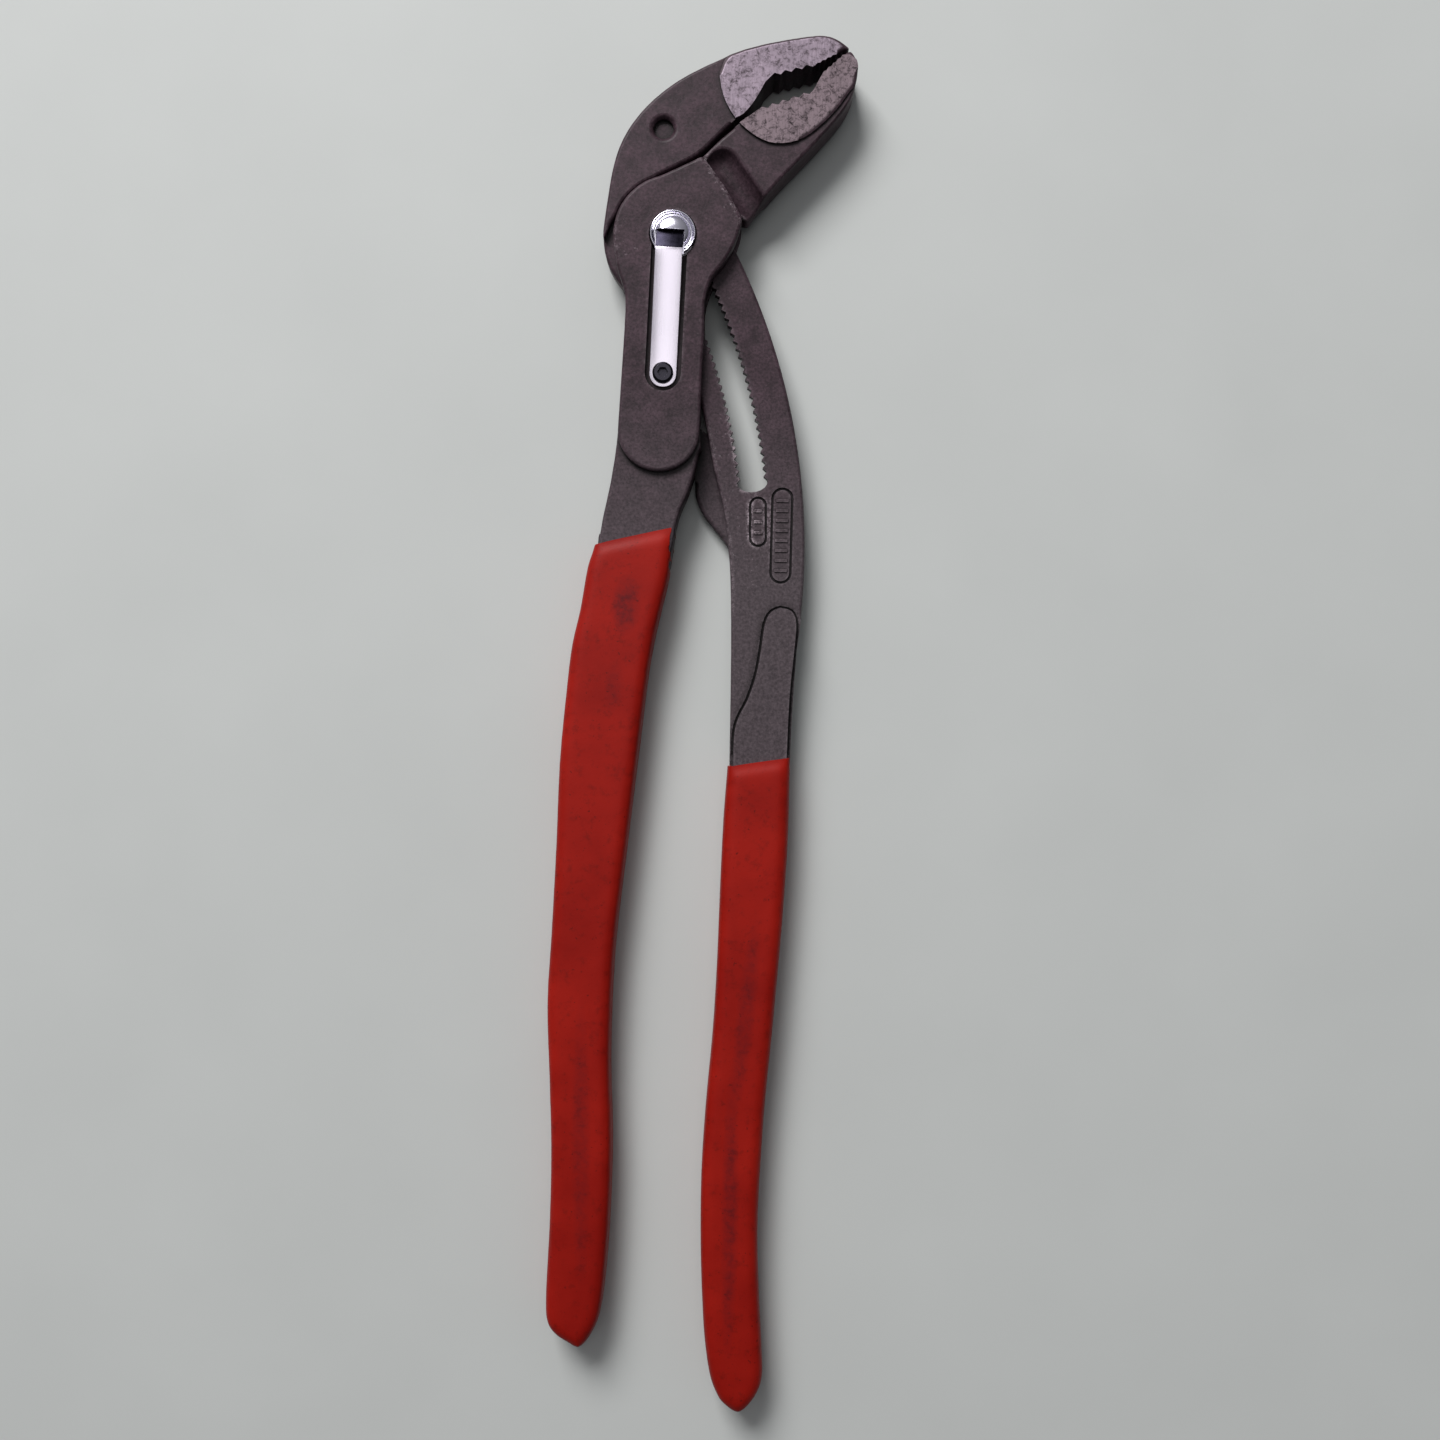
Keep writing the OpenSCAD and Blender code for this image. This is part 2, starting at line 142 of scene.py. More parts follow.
# %% [markdown]
# ## Forged steel with a phosphate coat
# The arms are drop forged, then dipped in a warm grey-brown phosphate bath and
# oiled. The coat is matt and finely grained. Every inner corner is painted dark:
# partly the oil that stays there, and partly painted shade where the corner is shaded.
# The coat rubs through to brighter metal on proud edges, most of all where hands
# and pipes meet it, and every proud edge also gets a faint painted highlight.
# Corners and edges are found by looking a short way around each point: outwards
# for corners, and inwards for edges. The real grain is under 0.1 mm, so it is drawn
# a little coarser to show.

# %% Forged steel
OIL_AND_SHADE_REACH = 2.8 * MM
EDGE_REACH = 1.2 * MM
GRAIN = 0.8
MOTTLE = 6.0
HANDLED_FROM = -40 * MM
HANDLED_TO = -100 * MM
# Strength of the painted highlight on every proud edge; the wear spots add real wear on top of it
FAINT_WEAR_AND_HIGHLIGHT = 0.12
JAW_START = 25 * MM


def phosphate(material, where, mottle, grain):
    tone = add(material, RANGE, {"Value": mottle, "From Min": 0.36, "From Max": 0.64})
    coat = add(material, MIX, {"Factor": tone, "A": linear("#2e2127"), "B": linear("#43323a")}, 2,
               data_type="RGBA")

    # Towards the grips, hands have rubbed the coat greyer
    down = add(material, "ShaderNodeSeparateXYZ", {"Vector": where}, "Y")
    handled = add(material, RANGE, {"Value": down, "From Min": HANDLED_FROM, "From Max": HANDLED_TO})
    coat = add(material, MIX, {"Factor": handled, "A": coat, "B": linear("#4a4145")}, 2,
               data_type="RGBA")
    grit = add(material, RANGE, {"Value": grain, "From Min": 0.34, "From Max": 0.68,
                                 "To Min": 0.64, "To Max": 1.44})
    coat = add(material, MIX, {"Factor": 1.0, "A": coat, "B": grit}, 2,
               data_type="RGBA", blend_type="MULTIPLY")
    # Inner corners are painted dark towards #0d0809: partly oil that stays there, partly painted shade
    # where the corners lie in shadow
    corner = add(material, "ShaderNodeAmbientOcclusion", {"Distance": OIL_AND_SHADE_REACH}, "AO",
                 samples=6, only_local=True)
    oil_and_painted_shade = add(material, RANGE, {"Value": corner, "From Min": 0.96, "From Max": 0.60, "To Max": 0.95})
    return add(material, MIX, {"Factor": oil_and_painted_shade, "A": coat, "B": linear("#0d0809")}, 2, data_type="RGBA")


# Proud edges are painted lighter: real rub-through near the wear spots, plus a faint painted highlight on
# every proud edge
def worn_and_highlit_edges(material, where, wear_spots):
    edge = add(material, "ShaderNodeAmbientOcclusion", {"Distance": EDGE_REACH}, "AO",
               samples=6, only_local=True, inside=True)
    proud = add(material, RANGE, {"Value": edge, "From Min": 0.90, "From Max": 0.60})
    rub = add(material, NOISE, {"Vector": where, "Scale": per_mm(1.3), "Detail": 5.0, "Roughness": 0.8})
    patches = add(material, RANGE, {"Value": rub, "From Min": 0.46, "From Max": 0.56})
    flecks = add(material, RANGE, {"Value": rub, "From Min": 0.61, "From Max": 0.68, "To Max": 0.6})
    strength = FAINT_WEAR_AND_HIGHLIGHT
    for x, y, radius in wear_spots:
        spot = (x * MM, y * MM, high.z - 2 * MM)
        away = add(material, "ShaderNodeVectorMath", {0: where, 1: spot}, "Value", operation="DISTANCE")
        near_spot = add(material, RANGE, {"Value": away, "From Min": radius * MM,
                                          "From Max": 0.3 * radius * MM})
        strength = add(material, MATHS, {0: near_spot, 1: strength}, operation="ADD")
    rubbed_and_highlit = add(material, MATHS, {0: proud, 1: patches}, operation="MULTIPLY")
    either = add(material, MATHS, {0: rubbed_and_highlit, 1: flecks}, operation="MAXIMUM")
    return add(material, MATHS, {0: either, 1: strength}, operation="MULTIPLY", use_clamp=True)


def ground_steel(material, where, mottle, pit_colour, bare_colour):
    pits = add(material, NOISE, {"Vector": where, "Scale": per_mm(1.5), "Detail": 6.0, "Roughness": 0.8,
                                 "Distortion": 0.6})
    pitted = add(material, RANGE, {"Value": pits, "From Min": 0.36, "From Max": 0.52})
    bare = add(material, MIX, {"Factor": pitted, "A": linear(pit_colour), "B": linear(bare_colour)}, 2,
               data_type="RGBA")
    along = add(material, "ShaderNodeMapping", {"Vector": where, "Rotation": (0, 0, math.radians(50)),
                                                "Scale": (1, 0.12, 1)})
    lines = add(material, NOISE, {"Vector": along, "Scale": per_mm(0.5), "Detail": 4.0, "Roughness": 0.7})
    scratch = add(material, RANGE, {"Value": lines, "From Min": 0.35, "From Max": 0.7,
                                    "To Min": 0.8, "To Max": 1.15})
    bare = add(material, MIX, {"Factor": 1.0, "A": bare, "B": scratch}, 2,
               data_type="RGBA", blend_type="MULTIPLY")
    stain = add(material, RANGE, {"Value": mottle, "From Min": 0.35, "From Max": 0.65,
                                  "To Min": 0.85, "To Max": 1.05})
    return add(material, MIX, {"Factor": 1.0, "A": bare, "B": stain}, 2,
               data_type="RGBA", blend_type="MULTIPLY")


def forged_steel(name, wear_spots, pit_colour, bare_colour):
    material, where = blank(name)
    mottle = add(material, NOISE, {"Vector": where, "Scale": per_mm(MOTTLE), "Detail": 6.0,
                                   "Roughness": 0.62})
    grain = add(material, NOISE, {"Vector": where, "Scale": per_mm(GRAIN), "Detail": 3.0, "Roughness": 0.7})
    coat = phosphate(material, where, mottle, grain)
    wear_and_highlight = worn_and_highlit_edges(material, where, wear_spots)
    # Proud edges are mixed towards #b9aab1: worn metal plus a painted highlight
    colour = add(material, MIX, {"Factor": wear_and_highlight, "A": coat, "B": linear("#b9aab1")}, 2, data_type="RGBA")

    # The ground flats stand prouder than any other face near the jaws
    place_z = add(material, "ShaderNodeSeparateXYZ", {"Vector": where}, "Z")
    place_y = add(material, "ShaderNodeSeparateXYZ", {"Vector": where}, "Y")
    off_middle = add(material, MATHS, {0: place_z, 1: GROUND_MIDDLE}, operation="SUBTRACT")
    rise = add(material, MATHS, {0: off_middle}, operation="ABSOLUTE")
    top = add(material, RANGE, {"Value": rise, "From Min": GROUND_HEIGHT - 0.10 * MM,
                                "From Max": GROUND_HEIGHT - 0.04 * MM})
    at_jaws = add(material, MATHS, {0: place_y, 1: JAW_START}, operation="GREATER_THAN")
    ground = add(material, MATHS, {0: top, 1: at_jaws}, operation="MULTIPLY")
    bare = ground_steel(material, where, mottle, pit_colour, bare_colour)
    colour = add(material, MIX, {"Factor": ground, "A": colour, "B": bare}, 2, data_type="RGBA")

    shiny = add(material, MATHS, {0: ground, 1: wear_and_highlight}, operation="MAXIMUM")
    metallic = add(material, RANGE, {"Value": shiny, "To Max": 0.5})
    roughness = add(material, RANGE, {"Value": mottle, "From Min": 0.3, "From Max": 0.7, "To Min": 0.42,
                                      "To Max": 0.56})
    fine = add(material, "ShaderNodeBump", {"Height": grain, "Strength": 0.5, "Distance": 0.09 * MM})
    broad = add(material, "ShaderNodeBump", {"Height": mottle, "Strength": 0.4, "Distance": 0.2 * MM,
                                             "Normal": fine})
    shader = add(material, "ShaderNodeBsdfPrincipled", {
        "Base Color": colour, "Metallic": metallic, "Roughness": roughness, "Normal": broad,
        "Specular IOR Level": 0.2})
    add(material, "ShaderNodeOutputMaterial", {"Surface": shader})
    return material


jaw_low, jaw_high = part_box("upper_jaw_arm")
GROUND_MIDDLE = (jaw_low.z + jaw_high.z) / 2
GROUND_HEIGHT = (jaw_high.z - jaw_low.z) / 2
# Each wear spot: X, Y and radius in mm
lower_steel = forged_steel("phosphated_forging_lower",
                           [(10, 20, 5), (13.5, 15.5, 5), (16.5, 11, 5), (19, 6, 5), (-15, -2, 7)],
                           "#221a1d", "#7a6b71")
upper_steel = forged_steel("phosphated_forging_upper",
                           [(11, -60, 13), (15, -84, 17), (17, -100, 12), (20, -79, 3)],
                           "#43393f", "#8f818d")
print("ground faces stand", round(GROUND_HEIGHT / MM, 2), "mm from the middle")

# %% [markdown]
# ## Bright metals
# The button is turned and chromed, so it mirrors the room. The spring strip is
# rolled spring steel, bright with faint lines along its length. Its tilted tip is
# given a dark colour, a painted dark reflection. The screw is black from an oxide
# bath, and the bolt, key and ring are plain turned steel.

# %% Bright metals
def metal(name, colour, roughness, grain_mm, stretch=(1, 1, 1), spread=0.06, bump_mm=0.003):
    material, where = blank(name)
    along = add(material, "ShaderNodeMapping", {"Vector": where, "Scale": stretch})
    lines = add(material, NOISE, {"Vector": along, "Scale": per_mm(grain_mm), "Detail": 4.0})
    shade = add(material, RANGE, {"Value": lines, "From Min": 0.3, "From Max": 0.7,
                                  "To Min": 0.95, "To Max": 1.02})
    tone = add(material, MIX, {"Factor": 1.0, "A": linear(colour), "B": shade}, 2, data_type="RGBA",
               blend_type="MULTIPLY")
    gloss = add(material, RANGE, {"Value": lines, "From Min": 0.3, "From Max": 0.7,
                                  "To Min": roughness - spread, "To Max": roughness + spread})
    bump = add(material, "ShaderNodeBump", {"Height": lines, "Strength": 0.4, "Distance": bump_mm * MM})
    shader = add(material, "ShaderNodeBsdfPrincipled", {
        "Base Color": tone, "Metallic": 1.0, "Roughness": gloss, "Normal": bump})
    add(material, "ShaderNodeOutputMaterial", {"Surface": shader})
    return material


chrome = metal("polished_chrome", "#dcd8e6", 0.18, 6.0, spread=0.01, bump_mm=0.0002)
spring_steel = metal("rolled_spring_steel", "#e6deea", 0.26, 1.2, stretch=(1, 0.03, 1), spread=0.02,
                     bump_mm=0.0005)
turned_steel = metal("turned_steel", "#a9a6a8", 0.32, 0.4, stretch=(0.2, 0.2, 1))
oxide_black = metal("black_oxide_steel", "#3a383f", 0.28, 0.6)
# Dark colour for the spring's tilted tip: a painted dark reflection
tip_painted_dark = metal("spring_tip_painted_dark", "#211f28", 0.30, 1.2)

# %% [markdown]
# ## Dipped vinyl
# The grips are made by dipping the handles in liquid vinyl, which leaves a soft
# skin with a dull sheen and faint orange peel. Hands and oil have stained it in
# darker patches, and a worn stripe of old print is only a smoky shade.

# %% Dipped red vinyl
FRONT_FROM = 10.5 * MM
FRONT_TO = 12 * MM
GRIP_MIDDLE = 7.5 * MM


def dipped_vinyl(name, smudges):
    material, where = blank(name)
    cloud = add(material, NOISE, {"Vector": where, "Scale": per_mm(26), "Detail": 3.0, "Roughness": 0.55})
    peel = add(material, NOISE, {"Vector": where, "Scale": per_mm(0.8), "Detail": 2.0})
    smudge = add(material, NOISE, {"Vector": where, "Scale": per_mm(3.2), "Detail": 6.0, "Roughness": 0.75})
    clouded = add(material, RANGE, {"Value": cloud, "From Min": 0.35, "From Max": 0.65})
    colour = add(material, MIX, {"Factor": clouded, "A": linear("#851008"), "B": linear("#98160b")}, 2,
                 data_type="RGBA")
    dirt = add(material, RANGE, {"Value": smudge, "From Min": 0.54, "From Max": 0.72, "To Max": 0.5})
    colour = add(material, MIX, {"Factor": dirt, "A": colour, "B": linear("#520b06")}, 2, data_type="RGBA")
    specks = add(material, NOISE, {"Vector": where, "Scale": per_mm(0.9), "Detail": 2.0})
    speck = add(material, RANGE, {"Value": specks, "From Min": 0.69, "From Max": 0.74, "To Max": 0.6})
    colour = add(material, MIX, {"Factor": speck, "A": colour, "B": linear("#3a0b08")}, 2, data_type="RGBA")
    front = add(material, "ShaderNodeSeparateXYZ", {"Vector": where}, "Z")
    on_front = add(material, RANGE, {"Value": front, "From Min": FRONT_FROM, "From Max": FRONT_TO})
    blotch = add(material, RANGE, {"Value": smudge, "From Min": 0.25, "From Max": 0.65})
    on_front = add(material, MATHS, {0: on_front, 1: blotch}, operation="MULTIPLY")
    for x, y, width, length, lean, depth in smudges:
        inside = add(material, "ShaderNodeMapping", {
            "Vector": where, "Location": (x * MM, y * MM, GRIP_MIDDLE),
            "Rotation": (0, 0, math.radians(lean)),
            "Scale": (width * MM / 2, length * MM / 2, 1)}, vector_type="TEXTURE")
        away = add(material, "ShaderNodeVectorMath", {0: inside}, "Value", operation="LENGTH")
        shade = add(material, RANGE, {"Value": away, "From Min": 1.0, "From Max": 0.4, "To Max": depth})
        print_left = add(material, MATHS, {0: shade, 1: on_front}, operation="MULTIPLY")
        colour = add(material, MIX, {"Factor": print_left, "A": colour, "B": linear("#4a1218")}, 2,
                     data_type="RGBA")
    gloss = add(material, RANGE, {"Value": cloud, "From Min": 0.3, "From Max": 0.7,
                                  "To Min": 0.44, "To Max": 0.56})
    fine = add(material, "ShaderNodeBump", {"Height": peel, "Strength": 0.25, "Distance": 0.06 * MM})
    broad = add(material, "ShaderNodeBump", {"Height": smudge, "Strength": 0.3, "Distance": 0.12 * MM,
                                             "Normal": fine})
    shader = add(material, "ShaderNodeBsdfPrincipled", {
        "Base Color": colour, "Roughness": gloss, "Normal": broad, "Specular IOR Level": 0.16})
    add(material, "ShaderNodeOutputMaterial", {"Surface": shader})
    return material


# Each smudge: middle X and Y, width and length in mm, lean in degrees, depth of shade
left_vinyl = dipped_vinyl("dipped_vinyl_left", [
    (-13.5, -107, 9, 19, -4, 0.75), (-17, -130, 6, 16, -4, 0.35), (-26.5, -262, 6, 90, 0, 0.45)])
right_vinyl = dipped_vinyl("dipped_vinyl_right", [
    (21, -225, 6, 60, -6, 0.5), (16.4, -282, 5.5, 90, -1, 0.6)])
print("materials:", sorted(material.name for material in bpy.data.materials))

# %% [markdown]
# ## A forging in two passes
# A real arm is forged with soft edges first, and its teeth, hole and flats are
# machined after that. It is made here in the same order. A blank starts as a copy
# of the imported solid. A voxel remesh gives it even small faces and smoothing
# rounds it, except where it will be machined. There it is swelled a little
# instead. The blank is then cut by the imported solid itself, which leaves crisp
# teeth and flats with soft forged edges around them.
#
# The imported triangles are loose, so a copy is merged into a closed solid first.
# The merge operator takes in all points within a micron, which would swallow the
# finest corners, so the copy is enlarged while it is merged.

# %% Helpers that copy, cut and soften
ENLARGED = 1024


def only(piece):
    bpy.ops.object.select_all(action="DESELECT")
    piece.select_set(True)
    bpy.context.view_layer.objects.active = piece


def copy_of(node, name):
    """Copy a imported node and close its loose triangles, enlarged so that no fine corner is merged away"""
    piece = bpy.data.objects.new(name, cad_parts[node].data.copy())
    bpy.context.scene.collection.objects.link(piece)
    piece.data.transform(Matrix.Scale(ENLARGED, 4))
    only(piece)
    bpy.ops.object.mode_set(mode="EDIT")
    bpy.ops.mesh.select_all(action="SELECT")
    bpy.ops.mesh.remove_doubles(threshold=0.0001 * MM * ENLARGED)
    bpy.ops.object.mode_set(mode="OBJECT")
    piece.data.transform(Matrix.Scale(1 / ENLARGED, 4))
    return piece


def cut_away(piece, point, normal):
    only(piece)
    bpy.ops.object.mode_set(mode="EDIT")
    bpy.ops.mesh.select_all(action="SELECT")
    bpy.ops.mesh.bisect(plane_co=point, plane_no=normal, use_fill=True, clear_inner=True)
    bpy.ops.object.mode_set(mode="OBJECT")


def modify(piece, kind, **settings):
    only(piece)
    modifier = piece.modifiers.new(kind.lower(), kind)
    for name, value in settings.items():
        setattr(modifier, name, value)
    bpy.ops.object.modifier_apply(modifier=modifier.name)


def points_of(piece):
    found = np.empty(len(piece.data.vertices) * 3)
    piece.data.vertices.foreach_get("co", found)
    return found.reshape(-1, 3) / MM


def weigh(piece, name, weights):
    group = piece.vertex_groups.new(name=name)
    steps = np.round(np.clip(weights, 0, 1) * 10).astype(int)
    for step in range(1, 11):
        members = np.flatnonzero(steps == step)
        group.add(members.tolist(), step / 10, "REPLACE")


def dress(piece, material, body, node):
    piece.data.materials.clear()
    piece.data.materials.append(material)
    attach(piece, body)
    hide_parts(node)


FORGE_VOXEL = 0.3
FORGE_ROUNDS = 80
SWELL = 0.09
MACHINED_SWELL = 0.25
FLAT = 0.9999


def forge(node, name, cut_point, crisp):
    machined = copy_of(node, name + "_machined")
    cut_away(machined, cut_point, (0, 1, 0))
    piece = copy_of(node, name)
    cut_away(piece, cut_point - Vector((0, MM, 0)), (0, 1, 0))
    modify(piece, "REMESH", mode="VOXEL", voxel_size=FORGE_VOXEL * MM)
    kept = crisp(points_of(piece))
    weigh(piece, "soft", 1 - kept)
    weigh(piece, "crisp", kept)
    modify(piece, "SMOOTH", factor=0.5, iterations=FORGE_ROUNDS, vertex_group="soft")
    modify(piece, "DISPLACE", strength=SWELL * MM, mid_level=0.0)
    modify(piece, "DISPLACE", strength=MACHINED_SWELL * MM, mid_level=0.0, vertex_group="crisp")
    swelled = len(piece.data.polygons)
    modify(piece, "BOOLEAN", operation="INTERSECT", solver="MANIFOLD", object=machined)
    if len(piece.data.polygons) == swelled:
        print("the quick solver refused", name, "so the exact one cuts it")
        modify(piece, "BOOLEAN", operation="INTERSECT", solver="EXACT", object=machined)
    bpy.data.objects.remove(machined)
    piece.vertex_groups.clear()
    only(piece)
    bpy.ops.object.shade_smooth_by_angle(angle=math.radians(38))
    for face in piece.data.polygons:
        face.use_smooth = abs(face.normal.z) < FLAT
    print(piece.name, "has", len(piece.data.polygons), "faces")
    return piece


def within(distance, reach, fade=1.0):
    """1 up to the reach, falling to 0 over the fade"""
    return np.clip((reach + fade - distance) / fade, 0, 1)


# %% [markdown]
# ## The two forged arms
# The crisp places are the toothed slot, the mouth with its ground flats, the
# cartouches, the pad's groove, the button's hole and the spring's pocket. Each is
# a distance in plan that fades out, and the greatest weight counts. All sizes here
# are in millimetres, in the model's own frame.

# %% The mouth, which both arms share
MOUTH = (33.5, 46)
MOUTH_REACH = 21.1
CROWN = (38, 54.2)
CROWN_CURVE = 0.014
WALL = (46.5, 40)
WALL_LEAN = 0.9


def crisp_mouth(p):
    x, y = p[:, 0], p[:, 1]
    inside = within(np.hypot(x - MOUTH[0], y - MOUTH[1]), MOUTH_REACH, 0.5)
    off_back = within(y - CROWN[1] + CROWN_CURVE * (x - CROWN[0]) ** 2, -1)
    off_wall = within(x - WALL[0] - WALL_LEAN * (y - WALL[1]), -1)
    return inside * np.where(y > MOUTH[1], off_back, 1) * np.where(x > 36, off_wall, 1)


def off_line(p, line):
    """Distance in plan from each point to a line of points"""
    nearest = np.full(len(p), np.inf)
    for start, end in zip(line, line[1:]):
        start, end = np.array(start), np.array(end)
        along = np.clip((p[:, :2] - start) @ (end - start) / np.sum((end - start) ** 2), 0, 1)
        foot = start + along[:, None] * (end - start)
        nearest = np.minimum(nearest, np.linalg.norm(p[:, :2] - foot, axis=1))
    return nearest


# %% The slotted arm
RACK_CENTRE = (-154.59, -89.25)
RACK_RADIUS = 178.5
SLOT_REACH = 5.4
SLOT_LOW = -77
SLOT_HIGH = 7
PLATES = (28.3, -86)
PLATES_WIDE = 7.6
PLATES_TALL = 17
PAD_REACH = 1.2
FRONT = 8
PAD_EDGE = [(17.4, -152), (17.6, -145), (18.8, -139.4), (21.6, -134), (24, -127), (25.4, -120),
            (26.6, -112), (28.4, -108.6), (31, -107.4), (34.2, -108.4), (35.6, -112), (35, -120),
            (33.6, -134), (32.8, -152)]


def crisp_upper(p):
    x, y, on_front = p[:, 0], p[:, 1], p[:, 2] > FRONT
    off_rack = np.abs(np.hypot(x - RACK_CENTRE[0], y - RACK_CENTRE[1]) - RACK_RADIUS)
    slot = within(off_rack, SLOT_REACH) * within(-y, -SLOT_LOW, 2) * within(y, SLOT_HIGH)
    off_plates = np.hypot((x - PLATES[0]) / PLATES_WIDE, (y - PLATES[1]) / PLATES_TALL)
    plates = within(off_plates, 1.0, 0.12) * on_front
    pad = within(off_line(p, PAD_EDGE), PAD_REACH) * on_front
    return np.maximum.reduce([slot, plates, pad, crisp_mouth(p)])


# %% The arm with the button
BUTTON_REACH = 7.4
POCKET = (-2.9, -40)
POCKET_LEAN = 0.052
POCKET_REACH = 5.6
POCKET_END = -46.5
POCKET_FLOOR = 11


def crisp_lower(p):
    x, y = p[:, 0], p[:, 1]
    button = within(np.hypot(x, y), BUTTON_REACH)
    across = np.abs(x - POCKET[0] - POCKET_LEAN * (y - POCKET[1]))
    pocket = within(across, POCKET_REACH) * (y > POCKET_END) * (y < 0) * (p[:, 2] > POCKET_FLOOR)
    return np.maximum.reduce([button, pocket, crisp_mouth(p)])


# %% Forge both arms, each down to a point hidden in its grip
def below(grip, depth_mm):
    return Vector((0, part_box(grip)[1].y - depth_mm * MM, 0))


upper_forging = forge("upper_jaw_arm", "upper_jaw_forging", below("right_grip", 16), crisp_upper)
dress(upper_forging, upper_steel, "upper_arm", "upper_jaw_arm")
lower_forging = forge("lower_jaw_arm", "lower_jaw_forging", below("left_grip", 22), crisp_lower)
dress(lower_forging, lower_steel, "lower_arm", "lower_jaw_arm")

# %% [markdown]
# ## Grips
# A dipped grip follows the steel inside it, with round edges and a tip that the
# last drip pulls to a blunt point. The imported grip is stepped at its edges, so a
# coarser remesh and long smoothing turn the steps into one even radius. The open
# end is first pulled out along the arm and cut back to its line after, which
# leaves it crisp.

# %% Dipped grips
STRETCH = 4.0
END_ZONE = 1.5
DIP_VOXEL = 0.55
DIP_ROUNDS = 34


def dipped_grip(node, name, left_corner, right_corner, pull):
    piece = copy_of(node, name)
    start, end = Vector((*left_corner, 0)), Vector((*right_corner, 0))
    along = (end - start).normalized()
    outward = Vector((-along.y, along.x, 0))
    for vertex in piece.data.vertices:
        if (vertex.co / MM - start).dot(outward) > -END_ZONE:
            vertex.co += Vector((*pull, 0)).normalized() * STRETCH * MM
    modify(piece, "REMESH", mode="VOXEL", voxel_size=DIP_VOXEL * MM)
    modify(piece, "SMOOTH", factor=0.5, iterations=DIP_ROUNDS)
    cut_away(piece, start * MM, -outward)
    only(piece)
    bpy.ops.object.shade_smooth_by_angle(angle=math.radians(50))
    print(piece.name, "has", len(piece.data.polygons), "faces")
    return piece


left_grip = dipped_grip("left_grip", "left_dipped_grip", (-21.9, -89), (1, -84), (0.16, 1))
dress(left_grip, left_vinyl, "lower_arm", "left_grip")
right_grip = dipped_grip("right_grip", "right_dipped_grip", (15.8, -153.4), (33.9, -150.8), (0.06, 1))
dress(right_grip, right_vinyl, "upper_arm", "right_grip")

# %% [markdown]
# ## Push button
# The button is turned on a lathe, so its outline is drawn once with extruded
# points and spun round the pivot. It has a polished rim, a groove and a dome. A
# notch for the end of the spring is milled across it afterwards.

# %% Turned push button
def turned(name, outline, steps=128):
    bpy.ops.object.select_all(action="DESELECT")
    bpy.ops.mesh.primitive_plane_add(size=MM)
    piece = bpy.context.active_object
    piece.name = name
    bpy.ops.object.mode_set(mode="EDIT")
    bpy.ops.mesh.merge(type="CENTER")
    bpy.ops.transform.translate(value=(outline[0][0] * MM, 0, outline[0][1] * MM))
    for (r0, z0), (r1, z1) in zip(outline, outline[1:]):
        step = ((r1 - r0) * MM, 0, (z1 - z0) * MM)
        bpy.ops.mesh.extrude_vertices_move(TRANSFORM_OT_translate={"value": step})
    bpy.ops.mesh.select_all(action="SELECT")
    bpy.ops.mesh.spin(steps=steps, angle=math.tau, center=(0, 0, 0), axis=(0, 0, 1))
    bpy.ops.mesh.select_all(action="SELECT")
    bpy.ops.mesh.remove_doubles(threshold=0.002 * MM)
    bpy.ops.mesh.normals_make_consistent(inside=False)
    bpy.ops.object.mode_set(mode="OBJECT")
    return piece


def arc(centre_r, centre_z, radius, start, end, steps):
    turns = [math.radians(start + (end - start) * i / steps) for i in range(steps + 1)]
    return [(centre_r + radius * math.cos(t), centre_z + radius * math.sin(t)) for t in turns]


cap_low, cap_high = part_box("button_cap")
BUTTON_R = (cap_high.x - cap_low.x) / 2 / MM
CAP_Z = cap_low.z / MM
CAP_TOP = cap_high.z / MM
RIM_R = 0.28
GROOVE_R = 0.6
DOME_R = 4.6
DOME_Z = CAP_Z + 2.2
UNDERCUT = 0.2
rim = arc(BUTTON_R - RIM_R, CAP_Z + 2.1, RIM_R, 0, 150, 8)
groove = arc(BUTTON_R - 1.25, CAP_Z + 2.25, GROOVE_R, -10, -170, 10)
dome = [(DOME_R * math.cos(math.radians(t)), DOME_Z + (CAP_TOP - DOME_Z) * math.sin(math.radians(t)))
        for t in range(0, 86, 5)]
outline = [(0, CAP_Z + UNDERCUT), (BUTTON_R, CAP_Z + UNDERCUT)] + rim + groove + dome + [(0, CAP_TOP)]
button = turned("push_button", outline)

# %% [markdown]
# ## Spring strip
# The strip is one band of spring steel, bent over a small radius near the button
# and held flat by the screw. A short edge is extruded step by step along the bent
# line, a Solidify modifier gives the band its thickness and a fine bevel rounds
# its edges.

# %% Spring strip
STRIP_W = 7.8
STRIP_T = 0.9
SCREW = Vector((-2.9, -40.0))
STRIP_TURN = math.radians(-3)
STRIP_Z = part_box("leaf_spring")[0].z / MM
# Distance along the strip from the screw, and height over its seat
BENDS = [(-3.9, 0), (0, 0), (5, 0.05), (12, 0.7), (22, 1.7), (31, 2.75), (33.2, 2.98), (34.6, 3.1),
         (35.4, 3.1), (36.1, 2.98), (37, 2.66), (38.6, 2.2), (40.3, 1.72)]


